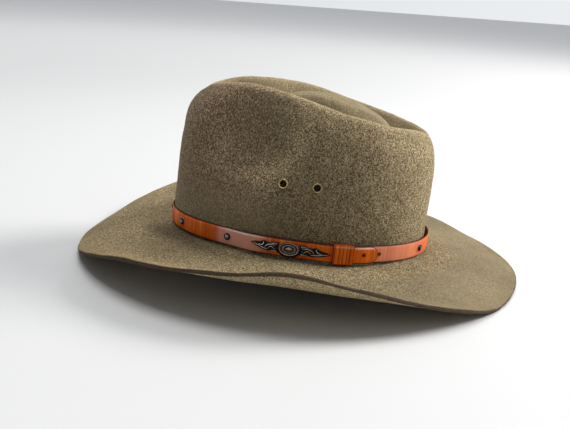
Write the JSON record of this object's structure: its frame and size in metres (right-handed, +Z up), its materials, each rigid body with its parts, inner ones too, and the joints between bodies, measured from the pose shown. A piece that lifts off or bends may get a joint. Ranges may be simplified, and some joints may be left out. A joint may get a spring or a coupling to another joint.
{
  "type": "outback hat",
  "caption": "Outback hat in olive-brown felt with a creased, pinched crown, a wide dipped brim and a lapped tan leather band with cast ornament, studs and vent eyelets.",
  "frame": {"origin": "on the surface that the hat rests on, below the middle of its brim", "axes": "+Z up, front of the hat towards -Y, the wearer's left (ornament side) towards +X"},
  "size_m": [0.3338, 0.361, 0.1434],
  "materials": {
    "felt": "matte pressed wool felt, olive brown with paler flecks",
    "band_leather": "glossy tan leather with dark burnished edges",
    "ornament_metal": "antique nickel plate, black in the recesses and rubbed bright on the relief",
    "eyelet_brass": "dull antique brass"
  },
  "bodies": {
    "root": {"felt_body": "felt", "band_strap": "band_leather", "keeper_loop": "band_leather", "concho_oval": "ornament_metal", "scroll_front": "ornament_metal", "scroll_rear": "ornament_metal", "stud_01": "ornament_metal", "stud_02": "ornament_metal", "stud_03": "ornament_metal", "stud_04": "ornament_metal", "stud_05": "ornament_metal", "stud_06": "ornament_metal", "stud_07": "ornament_metal", "stud_08": "ornament_metal", "stud_09": "ornament_metal", "stud_10": "ornament_metal", "eyelet_left_front": "eyelet_brass", "eyelet_left_rear": "eyelet_brass", "eyelet_right_front": "eyelet_brass", "eyelet_right_rear": "eyelet_brass"}
  },
  "joints": []
}
